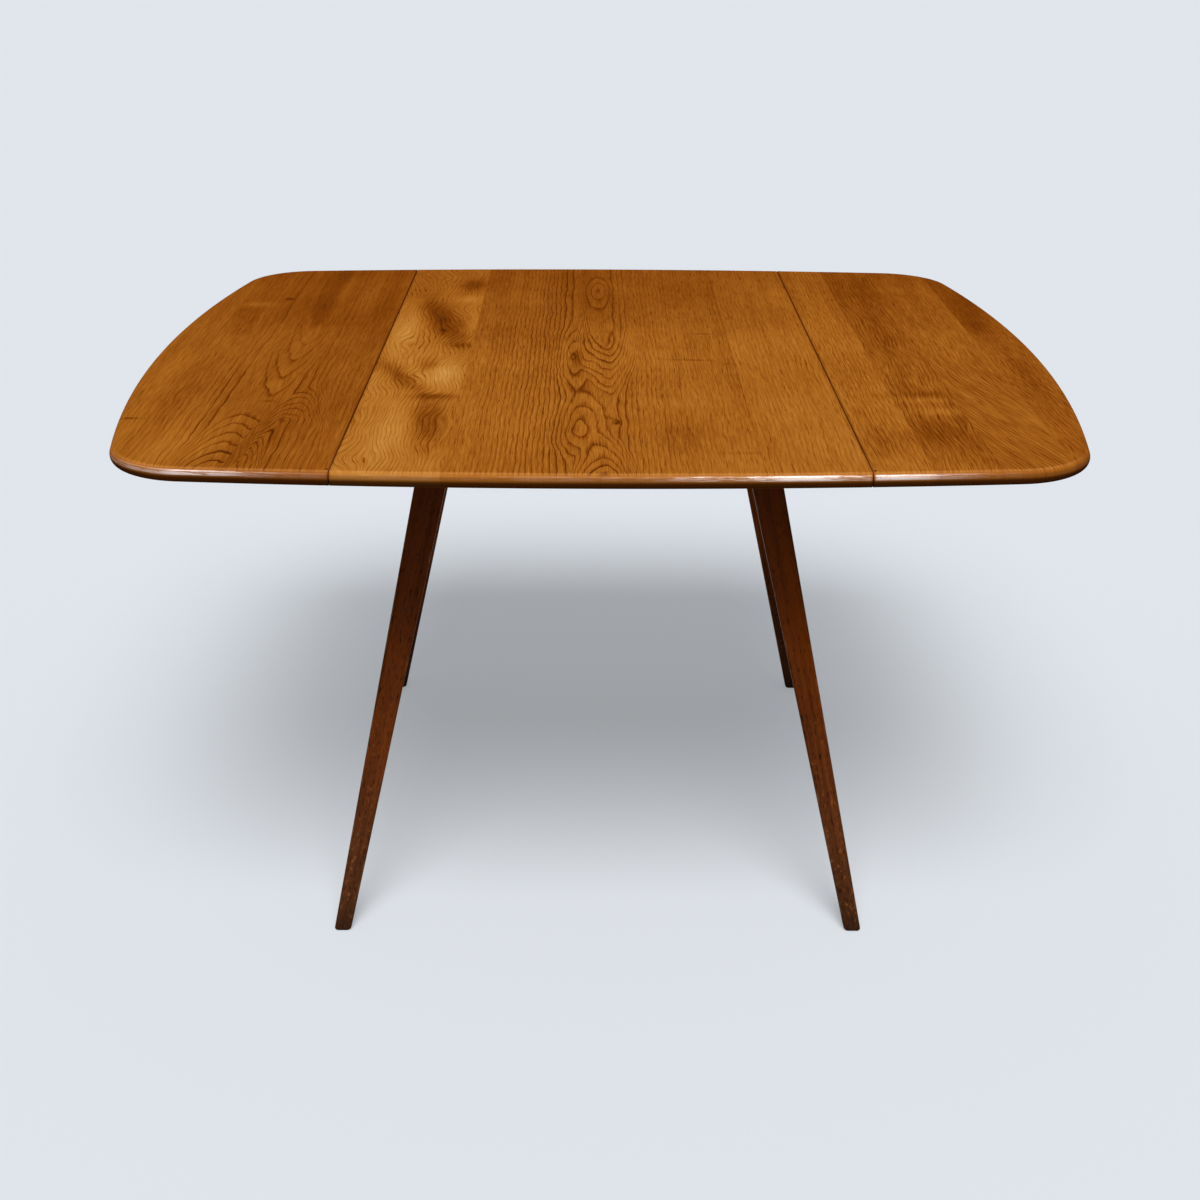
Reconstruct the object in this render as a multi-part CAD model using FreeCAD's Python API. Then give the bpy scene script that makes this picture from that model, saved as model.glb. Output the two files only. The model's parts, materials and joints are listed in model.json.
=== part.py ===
import FreeCAD, Part
import math
import os

from FreeCAD import Vector

# Drop-leaf dining table: an elm top in three panels on a compact frame with splayed legs.
# Millimetres. The floor is zero, +Z is up, +X points to the right leaf and -Y to the sitter in front.

# Top: one barrel-shaped slab, parted at the two hinge lines
top_length = 1250.0        # over both raised leaves
top_depth = 1130.0         # front to back through the middle
top_height = 715.0         # floor to table surface
top_thick = 19.0
centre_width = 620.0       # hinge line to hinge line
seam_gap = 1.0
seam_ease = 1.2            # flat on the arrises that face each other at a seam
side_bow = 35.0            # rise of the front and back arcs over the whole length
end_bow = 64.0             # rise of the end arcs over the whole depth
corner_radius = 108.0
edge_round = 9.0           # rounded edge, above and below

# Legs: sections at the underside of the top and at the floor, placed from the edges of the top
leg_top_from_hinge = 106.0
leg_top_from_front = 425.0
leg_top_wide = 47.0        # along X
leg_top_deep = 40.0        # along Y
leg_foot_past_hinge = 42.0
leg_foot_from_front = 174.0
leg_foot_wide = 22.5
leg_foot_deep = 22.0
leg_arris = 4.0            # also round the foot

# Rails and the blocks that hold them to the top
rail_thick = 20.0
rail_drop = 50.0           # height of a rail, below the top
tenon_thick = 10.0
tenon_shoulder = 8.0       # shoulder above and below a tenon
tenon_reach = 24.0         # past the leg's inner face, at the top
tenon_spare = 3.0          # wood left between two tenons in one leg
mortise_clear = 0.1
fixing_long = 90.0
fixing_wide = 22.0
fixing_tall = 26.0
fixing_screw_pitch = 56.0

# Back-flap hinges, screwed on below the seams
hinge_from_front = 135.0   # middle of an outer hinge to the edge of the top
hinge_length = 60.0
hinge_flap = 40.0          # pin to the flap's far edge
hinge_plate = 2.0
hinge_drop = 4.0           # pin below the underside of the top
hinge_corner = 6.0
knuckle_count = 5
knuckle_gap = 0.3
barrel_radius = 3.7
barrel_clear = 0.6         # round the other flap's knuckles
pin_radius = 2.0
pin_clear = 0.05
pin_proud = 1.0

# Swivel bearers: arms that turn out under a leaf, on bolts below the centre top
bearer_from_hinge = 100.0  # bolt to hinge line
bearer_from_front = 265.0  # bolt to the edge of the top
bearer_reach = 200.0       # bolt to tip
bearer_wide = 34.0
bearer_thick = 22.0
bearer_drop = 23.0         # arm below the underside of the top
bearer_ease = 3.0
ramp_angle = 16.0          # levelling ramp across the tip, in degrees
ramp_spare = 5.0           # ramp beyond the cleat
cleat_start = 60.0         # hinge line to cleat
cleat_long = 35.0
cleat_wide = 30.0
cleat_gap = 0.3
pivot_block_long = 70.0
pivot_block_wide = 44.0
pivot_block_ease = 4.0
pivot_screw_pitch = 50.0
bolt_radius = 4.0
bolt_clear = 0.08
bolt_bite = 10.0           # bolt in the top
bolt_head_radius = 7.5
bolt_head = 5.0
washer_radius = 11.0
washer_thick = 1.0

# Countersunk wood screws
screw_radius = 2.0
screw_head_radius = 4.0
screw_tip = 3.0
screw_bite = 12.0          # screw in the wood it holds to
screw_clear = 0.1
screw_slot = 1.0
cleat_screw_pitch = 17.0
cleat_screw_seat = 12.0    # wood left under a cleat's screw head
flap_screw_near = 13.0     # pin to the pair of screws
flap_screw_far = 31.0      # pin to the single screw
flap_screw_spread = 40.0

underside = top_height - top_thick
hinge_x = centre_width / 2
hinge_z = underside - hinge_drop
hinge_spread = top_depth / 2 - hinge_from_front
leg_top_x = hinge_x - leg_top_from_hinge
leg_top_y = top_depth / 2 - leg_top_from_front
leg_foot_x = hinge_x + leg_foot_past_hinge
leg_foot_y = top_depth / 2 - leg_foot_from_front
bearer_x = hinge_x - bearer_from_hinge
bearer_y = top_depth / 2 - bearer_from_front
bearer_top = underside - bearer_drop
block_thick = bearer_drop - washer_thick
ramp_rise = math.tan(math.radians(ramp_angle))

sides = {"left": -1, "right": 1}
ends = {"front": -1, "back": 1}
corners = [(end, side) for end in ends for side in sides]
nodes = {}


def box(x_span, y_span, z_span):
    lows = Vector(min(x_span), min(y_span), min(z_span))
    highs = Vector(max(x_span), max(y_span), max(z_span))
    size = highs - lows
    return Part.makeBox(size.x, size.y, size.z, lows)


def prism(points, push):
    """Solid swept by a closed outline pushed along a vector."""
    return Part.Face(Part.makePolygon(points + points[:1])).extrude(push)


def mirrored(shape, x_sign, y_sign):
    """A piece drawn for the back right corner, placed in the corner that the signs name."""
    if x_sign < 0:
        shape = shape.mirror(Vector(0, 0, 0), Vector(1, 0, 0))
    if y_sign < 0:
        shape = shape.mirror(Vector(0, 0, 0), Vector(0, 1, 0))
    return shape


# Screws
def screw_blank(length, clear):
    """Countersunk screw pointing up from its head's flat; clear above zero makes its hole."""
    shank = screw_radius + clear
    head = screw_head_radius + clear
    outline = [
        Vector(0, 0, 0),
        Vector(head, 0, 0),
        Vector(shank, 0, hinge_plate),
        Vector(shank, 0, length - screw_tip),
        Vector(clear, 0, length + clear),
        Vector(0, 0, length + clear),
    ]
    if clear == 0:
        outline.pop(4)
    wire = Part.makePolygon(outline + outline[:1])
    return Part.Face(wire).revolve(Vector(0, 0, 0), Vector(0, 0, 1), 360)


def screw(at, length):
    slot = box((-screw_head_radius, screw_head_radius), (-screw_slot / 2, screw_slot / 2), (-1, screw_slot))
    solid = screw_blank(length, 0).cut(slot)
    solid.translate(at)
    return solid


def screw_hole(at, length):
    """Countersunk hole for a screw, open below its head."""
    well = Part.makeCylinder(screw_head_radius + screw_clear, top_height, Vector(0, 0, -top_height))
    hole = screw_blank(length, screw_clear).fuse(well)
    hole.translate(at)
    return hole


def drilled(shape, seats, length):
    if not seats:
        return shape
    return shape.cut([screw_hole(at, length) for at in seats])


def screw_group(seats, length):
    return Part.makeCompound([screw(at, length) for at in seats])


hinge_screw_long = hinge_plate + screw_bite
cleat_screw_long = cleat_screw_seat + screw_bite
fixing_screw_long = fixing_tall + screw_bite
pivot_screw_long = block_thick + screw_bite


def flap_seats(direction, side_sign):
    """Screw seats of the three flaps on one side of a hinge line; direction is along X from the pin."""
    seats = []
    for hinge_y in (-hinge_spread, 0, hinge_spread):
        for reach, offset in (
            (flap_screw_near, -flap_screw_spread / 2),
            (flap_screw_near, flap_screw_spread / 2),
            (flap_screw_far, 0),
        ):
            x = side_sign * hinge_x + direction * reach
            seats.append(Vector(x, hinge_y + offset, underside - hinge_plate))
    return seats


def cleat_seats(side_sign):
    middle = hinge_x + cleat_start + cleat_long / 2
    seats = []
    for end_sign in ends.values():
        for step in (-0.5, 0.5):
            x = side_sign * (middle + step * cleat_screw_pitch)
            seats.append(Vector(x, end_sign * bearer_y, underside - cleat_screw_seat))
    return seats


def pivot_seats():
    seats = []
    for end, side in corners:
        for step in (-0.5, 0.5):
            x = sides[side] * bearer_x + step * pivot_screw_pitch
            seats.append(Vector(x, ends[end] * bearer_y, underside - block_thick))
    return seats


# Top
def arcs_meet(centre_a, radius_a, centre_b, radius_b):
    """The crossing of two circles that lies furthest along +X and +Y."""
    apart = centre_b - centre_a
    span = apart.Length
    along = (radius_a**2 - radius_b**2 + span**2) / (2 * span)
    off = math.sqrt(radius_a**2 - along**2)
    unit = apart / span
    square = Vector(-unit.y, unit.x, 0)
    found = [centre_a + unit * along + square * sign * off for sign in (-1, 1)]
    return max(found, key=lambda point: point.x + point.y)


def top_outline():
    """Bowed sides and ends joined by tangent corner arcs, at the underside of the top."""
    half_long = top_length / 2
    half_deep = top_depth / 2
    side_radius = (half_long**2 + side_bow**2) / (2 * side_bow)
    end_radius = (half_deep**2 + end_bow**2) / (2 * end_bow)
    side_centre = Vector(0, half_deep - side_radius, 0)
    end_centre = Vector(half_long - end_radius, 0, 0)
    corner = arcs_meet(side_centre, side_radius - corner_radius, end_centre, end_radius - corner_radius)
    to_side = (corner - side_centre).normalize()
    to_end = (corner - end_centre).normalize()
    on_side = side_centre + to_side * side_radius
    on_end = end_centre + to_end * end_radius
    on_corner = corner + (to_side + to_end).normalize() * corner_radius

    def placed(point, x_sign, y_sign):
        return Vector(point.x * x_sign, point.y * y_sign, underside)

    edges = []
    for x_sign, y_sign in ((1, 1), (1, -1), (-1, -1), (-1, 1)):
        stops = [placed(point, x_sign, y_sign) for point in (on_side, on_corner, on_end)]
        edges.append(Part.Arc(*stops).toShape())
    for sign in (1, -1):
        side_mid = Vector(0, sign * half_deep, underside)
        end_mid = Vector(sign * half_long, 0, underside)
        edges.append(Part.Arc(placed(on_side, -1, sign), side_mid, placed(on_side, 1, sign)).toShape())
        edges.append(Part.Arc(placed(on_end, sign, -1), end_mid, placed(on_end, sign, 1)).toShape())
    return Part.Wire(Part.__sortEdges__(edges))


def top_slab():
    slab = Part.Face(top_outline()).extrude(Vector(0, 0, top_thick))
    rims = [edge for edge in slab.Edges if abs(edge.BoundBox.ZLength) < 1e-6]
    return slab.makeFillet(edge_round, rims)


def panel(slab, x_low, x_high, seams):
    """The stretch of the slab between two planes, with both arrises eased at each seam."""
    whole = box((x_low, x_high), (-top_depth, top_depth), (0, 2 * top_height))
    piece = slab.common(whole)
    for x, inward in seams:
        for z, into in ((underside, 1), (top_height, -1)):
            wedge = [
                Vector(x, -top_depth, z),
                Vector(x + inward * seam_ease, -top_depth, z),
                Vector(x, -top_depth, z + into * seam_ease),
            ]
            piece = piece.cut(prism(wedge, Vector(0, 2 * top_depth, 0)))
    return piece.Solids[0]


def build_top():
    slab = top_slab()
    inner = hinge_x - seam_gap / 2
    outer = hinge_x + seam_gap / 2
    centre = panel(slab, -inner, inner, ((-inner, 1), (inner, -1)))
    for side_sign in sides.values():
        centre = drilled(centre, flap_seats(-side_sign, side_sign), hinge_screw_long)
    centre = drilled(centre, fixing_seats(), fixing_screw_long)
    centre = drilled(centre, pivot_seats(), pivot_screw_long)
    bolts = []
    for end, side in corners:
        at = Vector(sides[side] * bearer_x, ends[end] * bearer_y, underside)
        bolts.append(Part.makeCylinder(bolt_radius + bolt_clear, bolt_bite + bolt_clear, at))
    nodes["centre_top"] = centre.cut(bolts)
    for side, sign in sides.items():
        leaf = panel(slab, *sorted((sign * outer, sign * top_length)), ((sign * outer, sign),))
        leaf = drilled(leaf, flap_seats(sign, sign), hinge_screw_long)
        nodes[side + "_leaf"] = drilled(leaf, cleat_seats(sign), cleat_screw_long)


# Frame
def leg_section(z):
    """Centre and half widths of a leg, at a height."""
    share = z / underside
    x = leg_foot_x + (leg_top_x - leg_foot_x) * share
    y = leg_foot_y + (leg_top_y - leg_foot_y) * share
    wide = leg_foot_wide + (leg_top_wide - leg_foot_wide) * share
    deep = leg_foot_deep + (leg_top_deep - leg_foot_deep) * share
    return x, y, wide / 2, deep / 2


def leg_inner(z):
    """Where a leg's two inner faces stand, at a height."""
    x, y, half_wide, half_deep = leg_section(z)
    return x - half_wide, y - half_deep


def leg_blank():
    """Four-sided taper, splayed both ways, with eased arrises and a rounded foot."""
    wires = []
    for z in (0, underside):
        x, y, half_wide, half_deep = leg_section(z)
        turns = ((-1, -1), (1, -1), (1, 1), (-1, 1))
        points = [Vector(x + i * half_wide, y + j * half_deep, z) for i, j in turns]
        wires.append(Part.makePolygon(points + points[:1]))
    leg = Part.makeLoft(wires, True, True)
    eased = [edge for edge in leg.Edges if edge.BoundBox.ZMin < 1e-3]
    return leg.makeFillet(leg_arris, eased)


rail_low = underside - rail_drop
tenon_span = (rail_low + tenon_shoulder, underside - tenon_shoulder)
inner_x_high, inner_y_high = leg_inner(underside)
inner_x_low, inner_y_low = leg_inner(rail_low)
outer_y_high = leg_top_y + leg_top_deep / 2
outer_x_high = leg_top_x + leg_top_wide / 2
cross_rail_y = (inner_y_low + outer_y_high) / 2
side_rail_x = (inner_x_low + outer_x_high) / 2
cross_tenon_end = inner_x_high + tenon_reach
side_tenon_end = cross_rail_y - tenon_thick / 2 - tenon_spare


def rail(end_high, end_low, along, across, offset):
    """Rail with splayed shoulders, as long at its top and bottom edges as the legs leave room for."""
    corner_points = (
        (-end_high, underside),
        (end_high, underside),
        (end_low, rail_low),
        (-end_low, rail_low),
    )
    face = across * (offset - rail_thick / 2)
    points = [face + along * reach + Vector(0, 0, z) for reach, z in corner_points]
    return prism(points, across * rail_thick)


def tenon(end, along, across, offset, clear):
    """Bar through a rail, as long as its two tenons; clear above zero makes the mortise."""
    half = along * (end + clear) + across * (tenon_thick / 2 + clear)
    low = across * offset - half
    high = across * offset + half
    return box((low.x, high.x), (low.y, high.y), (tenon_span[0] - clear, tenon_span[1] + clear))


def fixing_seats():
    """Screws that hold the fixing blocks to the top: one block in the middle of each rail."""
    cross_y = cross_rail_y - rail_thick / 2 - fixing_wide / 2
    side_x = side_rail_x - rail_thick / 2 - fixing_wide / 2
    z = underside - fixing_tall
    seats = []
    for sign in (-1, 1):
        for step in (-0.5, 0.5):
            seats.append(Vector(step * fixing_screw_pitch, sign * cross_y, z))
            seats.append(Vector(sign * side_x, step * fixing_screw_pitch, z))
    return seats


def fixing_block(along, across, face):
    """Block against a rail's inner face and the underside of the top."""
    half = along * (fixing_long / 2)
    low = across * face - half
    high = across * (face - math.copysign(fixing_wide, face)) + half
    block = box((low.x, high.x), (low.y, high.y), (underside - fixing_tall, underside))
    return drilled(block, fixing_seats(), fixing_screw_long)


def build_frame():
    x_way = Vector(1, 0, 0)
    y_way = Vector(0, 1, 0)
    mortises = []
    for end, sign in ends.items():
        offset = sign * cross_rail_y
        body = rail(inner_x_high, inner_x_low, x_way, y_way, offset)
        bar = tenon(cross_tenon_end, x_way, y_way, offset, 0)
        nodes[end + "_cross_rail"] = body.fuse(bar).removeSplitter().Solids[0]
        nodes[end + "_fixing_block"] = fixing_block(x_way, y_way, sign * (cross_rail_y - rail_thick / 2))
        mortises.append(tenon(cross_tenon_end, x_way, y_way, offset, mortise_clear))
    for side, sign in sides.items():
        offset = sign * side_rail_x
        body = rail(inner_y_high, inner_y_low, y_way, x_way, offset)
        bar = tenon(side_tenon_end, y_way, x_way, offset, 0)
        nodes[side + "_side_rail"] = body.fuse(bar).removeSplitter().Solids[0]
        nodes[side + "_fixing_block"] = fixing_block(y_way, x_way, sign * (side_rail_x - rail_thick / 2))
        mortises.append(tenon(side_tenon_end, y_way, x_way, offset, mortise_clear))
    blank = leg_blank()
    for end, side in corners:
        leg = mirrored(blank, sides[side], ends[end])
        nodes[end + "_" + side + "_leg"] = leg.cut(mortises).Solids[0]
    nodes["fixing_screws"] = screw_group(fixing_seats(), fixing_screw_long)


# Hinges
def knuckles(first):
    """Spans along the pin of every second knuckle, counted from the first."""
    pitch = hinge_length / knuckle_count
    for index in range(first, knuckle_count, 2):
        low = index * pitch - hinge_length / 2
        yield low + knuckle_gap / 2, low + pitch - knuckle_gap / 2


def hinge_half(side_sign, hinge_y, direction, first):
    """One flap with its knuckles, flat under the wood; direction is along X from the pin."""
    pin_x = side_sign * hinge_x

    def strip(near, far, y_span, z_high):
        return box(
            (pin_x + direction * near, pin_x + direction * far),
            (hinge_y + y_span[0], hinge_y + y_span[1]),
            (underside - hinge_plate, z_high),
        )

    near = barrel_radius + barrel_clear
    half = (-hinge_length / 2, hinge_length / 2)
    flap = strip(near, hinge_flap, half, underside)
    far_x = pin_x + direction * hinge_flap
    upright = [edge for edge in flap.Edges if edge.BoundBox.ZLength > 1]
    tall = [edge for edge in upright if abs(edge.BoundBox.XMin - far_x) < 1e-3]
    flap = flap.makeFillet(hinge_corner, tall)
    joined = []
    bores = []
    for span in knuckles(first):
        start = Vector(pin_x, hinge_y + span[0], hinge_z)
        joined.append(strip(0, near, span, hinge_z + barrel_radius))
        joined.append(Part.makeCylinder(barrel_radius, span[1] - span[0], start, Vector(0, 1, 0)))
        bores.append(Part.makeCylinder(pin_radius + pin_clear, span[1] - span[0], start, Vector(0, 1, 0)))
    half_hinge = flap.fuse(joined).removeSplitter().cut(bores)
    return drilled(half_hinge, flap_seats(direction, side_sign), hinge_screw_long).Solids[0]


def build_hinges():
    places = {"front": -hinge_spread, "middle": 0, "back": hinge_spread}
    for side, sign in sides.items():
        for place, hinge_y in places.items():
            name = side + "_" + place + "_hinge_"
            nodes[name + "fixed_flap"] = hinge_half(sign, hinge_y, -sign, 0)
            nodes[name + "leaf_flap"] = hinge_half(sign, hinge_y, sign, 1)
            start = Vector(sign * hinge_x, hinge_y - hinge_length / 2 - pin_proud, hinge_z)
            length = hinge_length + 2 * pin_proud
            nodes[name + "pin"] = Part.makeCylinder(pin_radius, length, start, Vector(0, 1, 0))
        nodes[side + "_leaf_hinge_screws"] = screw_group(flap_seats(sign, sign), hinge_screw_long)
    fixed = flap_seats(1, -1) + flap_seats(-1, 1)
    nodes["centre_hinge_screws"] = screw_group(fixed, hinge_screw_long)


# Bearers
def bearer():
    """Round-ended arm, pointing out under the right leaf, with the levelling ramp across its tip."""
    half = bearer_wide / 2
    tip = bearer_x + bearer_reach - half
    low = bearer_top - bearer_thick
    stops = [
        (tip, bearer_y - half),
        (tip + half, bearer_y),
        (tip, bearer_y + half),
        (bearer_x, bearer_y + half),
        (bearer_x - half, bearer_y),
        (bearer_x, bearer_y - half),
    ]
    at = [Vector(x, y, low) for x, y in stops]
    edges = [
        Part.Arc(at[0], at[1], at[2]).toShape(),
        Part.LineSegment(at[2], at[3]).toShape(),
        Part.Arc(at[3], at[4], at[5]).toShape(),
        Part.LineSegment(at[5], at[0]).toShape(),
    ]
    arm = Part.Face(Part.Wire(edges)).extrude(Vector(0, 0, bearer_thick))
    lower = [edge for edge in arm.Edges if edge.BoundBox.ZMax < low + 1e-3]
    arm = arm.makeFillet(bearer_ease, lower)
    pivot = Part.makeCylinder(bolt_radius + bolt_clear, bearer_thick, Vector(bearer_x, bearer_y, low))
    ramp_x = hinge_x + cleat_start - ramp_spare
    past = bearer_wide + 1
    ramp = [
        Vector(ramp_x, bearer_y + half, bearer_top),
        Vector(ramp_x, bearer_y + half - past, bearer_top - past * ramp_rise),
        Vector(ramp_x, bearer_y + half - past, bearer_top + 1),
        Vector(ramp_x, bearer_y + half, bearer_top + 1),
    ]
    return arm.cut([pivot, prism(ramp, Vector(bearer_reach, 0, 0))]).Solids[0]


def cleat():
    """Wedge under the right leaf that the raised arm's ramp carries."""
    x = hinge_x + cleat_start
    low_y = bearer_y - cleat_wide / 2
    high_y = bearer_y + cleat_wide / 2

    def ramp_z(y):
        return bearer_top + cleat_gap - (bearer_y + bearer_wide / 2 - y) * ramp_rise

    points = [
        Vector(x, low_y, underside),
        Vector(x, high_y, underside),
        Vector(x, high_y, ramp_z(high_y)),
        Vector(x, low_y, ramp_z(low_y)),
    ]
    return drilled(prism(points, Vector(cleat_long, 0, 0)), cleat_seats(1), cleat_screw_long)


def pivot_block():
    """Packing between the top and an arm, with eased corners."""
    low = underside - block_thick
    block = box(
        (bearer_x - pivot_block_long / 2, bearer_x + pivot_block_long / 2),
        (bearer_y - pivot_block_wide / 2, bearer_y + pivot_block_wide / 2),
        (low, underside),
    )
    tall = [edge for edge in block.Edges if edge.BoundBox.ZLength > 1]
    block = block.makeFillet(pivot_block_ease, tall)
    hole = Part.makeCylinder(bolt_radius + bolt_clear, block_thick, Vector(bearer_x, bearer_y, low))
    return drilled(block.cut(hole), pivot_seats(), pivot_screw_long)


def washer(z):
    at = Vector(bearer_x, bearer_y, z)
    hole = Part.makeCylinder(bolt_radius + bolt_clear, washer_thick, at)
    return Part.makeCylinder(washer_radius, washer_thick, at).cut(hole)


washer_low = bearer_top - bearer_thick - washer_thick


def pivot_bolt():
    """Plain shank up through washer, arm and block into the top, with a hexagon head below."""
    seat = Vector(bearer_x, bearer_y, washer_low)
    shank = Part.makeCylinder(bolt_radius, underside + bolt_bite - washer_low, seat)
    base = seat - Vector(0, 0, bolt_head)
    turns = [math.radians(60 * step) for step in range(6)]
    points = [base + Vector(math.cos(turn), math.sin(turn), 0) * bolt_head_radius for turn in turns]
    return shank.fuse(prism(points, Vector(0, 0, bolt_head))).Solids[0]


def build_bearers():
    pieces = {
        "bearer": bearer(),
        "cleat": cleat(),
        "pivot_block": pivot_block(),
        "pivot_bolt": pivot_bolt(),
    }
    pair = [washer(bearer_top), washer(washer_low)]
    washers = []
    for end, side in corners:
        signs = sides[side], ends[end]
        for name, shape in pieces.items():
            nodes[end + "_" + side + "_" + name] = mirrored(shape, *signs)
        washers += [mirrored(shape, *signs) for shape in pair]
    nodes["pivot_washers"] = Part.makeCompound(washers)
    nodes["pivot_block_screws"] = screw_group(pivot_seats(), pivot_screw_long)
    for side, sign in sides.items():
        nodes[side + "_cleat_screws"] = screw_group(cleat_seats(sign), cleat_screw_long)


build_top()
build_frame()
build_hinges()
build_bearers()

os.makedirs("parts", exist_ok=True)
for name, shape in nodes.items():
    shape.exportStep("parts/" + name + ".step")
    print(name, len(shape.Solids), round(shape.Volume / 1000, 2), shape.isValid())
print(len(nodes), "nodes")
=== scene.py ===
import bmesh
import bpy
import json
import math
import numpy as np
from mathutils import Matrix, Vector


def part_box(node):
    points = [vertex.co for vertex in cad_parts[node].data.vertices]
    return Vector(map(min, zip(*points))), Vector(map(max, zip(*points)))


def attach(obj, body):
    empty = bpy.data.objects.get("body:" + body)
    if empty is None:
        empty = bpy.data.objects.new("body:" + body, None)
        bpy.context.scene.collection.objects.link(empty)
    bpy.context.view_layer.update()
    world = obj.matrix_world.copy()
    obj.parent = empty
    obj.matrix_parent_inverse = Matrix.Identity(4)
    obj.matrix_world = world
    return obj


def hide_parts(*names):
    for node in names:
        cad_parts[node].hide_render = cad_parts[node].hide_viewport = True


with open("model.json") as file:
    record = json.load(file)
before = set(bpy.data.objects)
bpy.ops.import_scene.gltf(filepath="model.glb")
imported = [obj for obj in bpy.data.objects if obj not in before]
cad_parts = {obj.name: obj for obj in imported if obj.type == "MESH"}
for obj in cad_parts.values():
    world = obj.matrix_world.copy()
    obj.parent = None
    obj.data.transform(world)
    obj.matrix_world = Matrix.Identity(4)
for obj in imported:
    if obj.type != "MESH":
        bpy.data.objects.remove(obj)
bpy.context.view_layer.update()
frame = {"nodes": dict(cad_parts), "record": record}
scene = bpy.context.scene
scene.view_settings.view_transform = "Standard"
print("frame loaded,", len(frame["nodes"]), "nodes")


def rgb(red, green, blue):
    # display values 0 to 255 turned to linear light
    shares = np.array((red, green, blue)) / 255
    linear = np.where(shares > 0.04045, ((shares + 0.055) / 1.055) ** 2.4, shares / 12.92)
    return (*(float(share) for share in linear), 1.0)


# camera

view = {
    "spot": (-0.0143, -2.4306, 1.3363),
    "pitch": 22.5305,  # degrees below the horizon
    "yaw": 0.4179,     # degrees towards +X
    "roll": 0.3169,
    "lens": 52.075,    # mm
    "sensor": 36,      # mm
    "farthest": 200,   # metres seen
}


def addCamera():
    data = bpy.data.cameras.new("photoView")
    data.lens = view["lens"]
    data.sensor_width = view["sensor"]
    data.clip_end = view["farthest"]
    eye = bpy.data.objects.new("photoView", data)
    turn = Matrix.Rotation(-math.radians(view["yaw"]), 4, "Z")
    turn = turn @ Matrix.Rotation(math.radians(90 - view["pitch"]), 4, "X")
    turn = turn @ Matrix.Rotation(math.radians(view["roll"]), 4, "Z")
    eye.matrix_world = Matrix.Translation(view["spot"]) @ turn
    scene.collection.objects.link(eye)
    scene.camera = eye


addCamera()
print("camera set")


# shader building

class Socket:
    # one output of a node; sums, products and the like add their Math nodes
    def __init__(self, finish, out):
        self.finish = finish
        self.out = out

    def math(self, operation, *others, clamp=False):
        settings = {"operation": operation, "use_clamp": clamp}
        return self.finish.node("ShaderNodeMath", settings, [self, *others])

    def flipped(self, operation, other):
        return self.finish.node("ShaderNodeMath", {"operation": operation}, [other, self])

    def __add__(self, other):
        return self.math("ADD", other)

    def __sub__(self, other):
        return self.math("SUBTRACT", other)

    def __rsub__(self, other):
        return self.flipped("SUBTRACT", other)

    def __mul__(self, other):
        return self.math("MULTIPLY", other)

    def __truediv__(self, other):
        return self.math("DIVIDE", other)

    def __pow__(self, other):
        return self.math("POWER", other)

    def __rpow__(self, other):
        return self.flipped("POWER", other)

    def __neg__(self):
        return self.flipped("SUBTRACT", 0.0)

    __radd__ = __add__
    __rmul__ = __mul__

    def hill(self, middle, wide):
        # bell: 1 at middle, falling to 0.37 at a distance of wide
        off = (self - middle) / wide
        return math.e ** (-(off * off))


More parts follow.
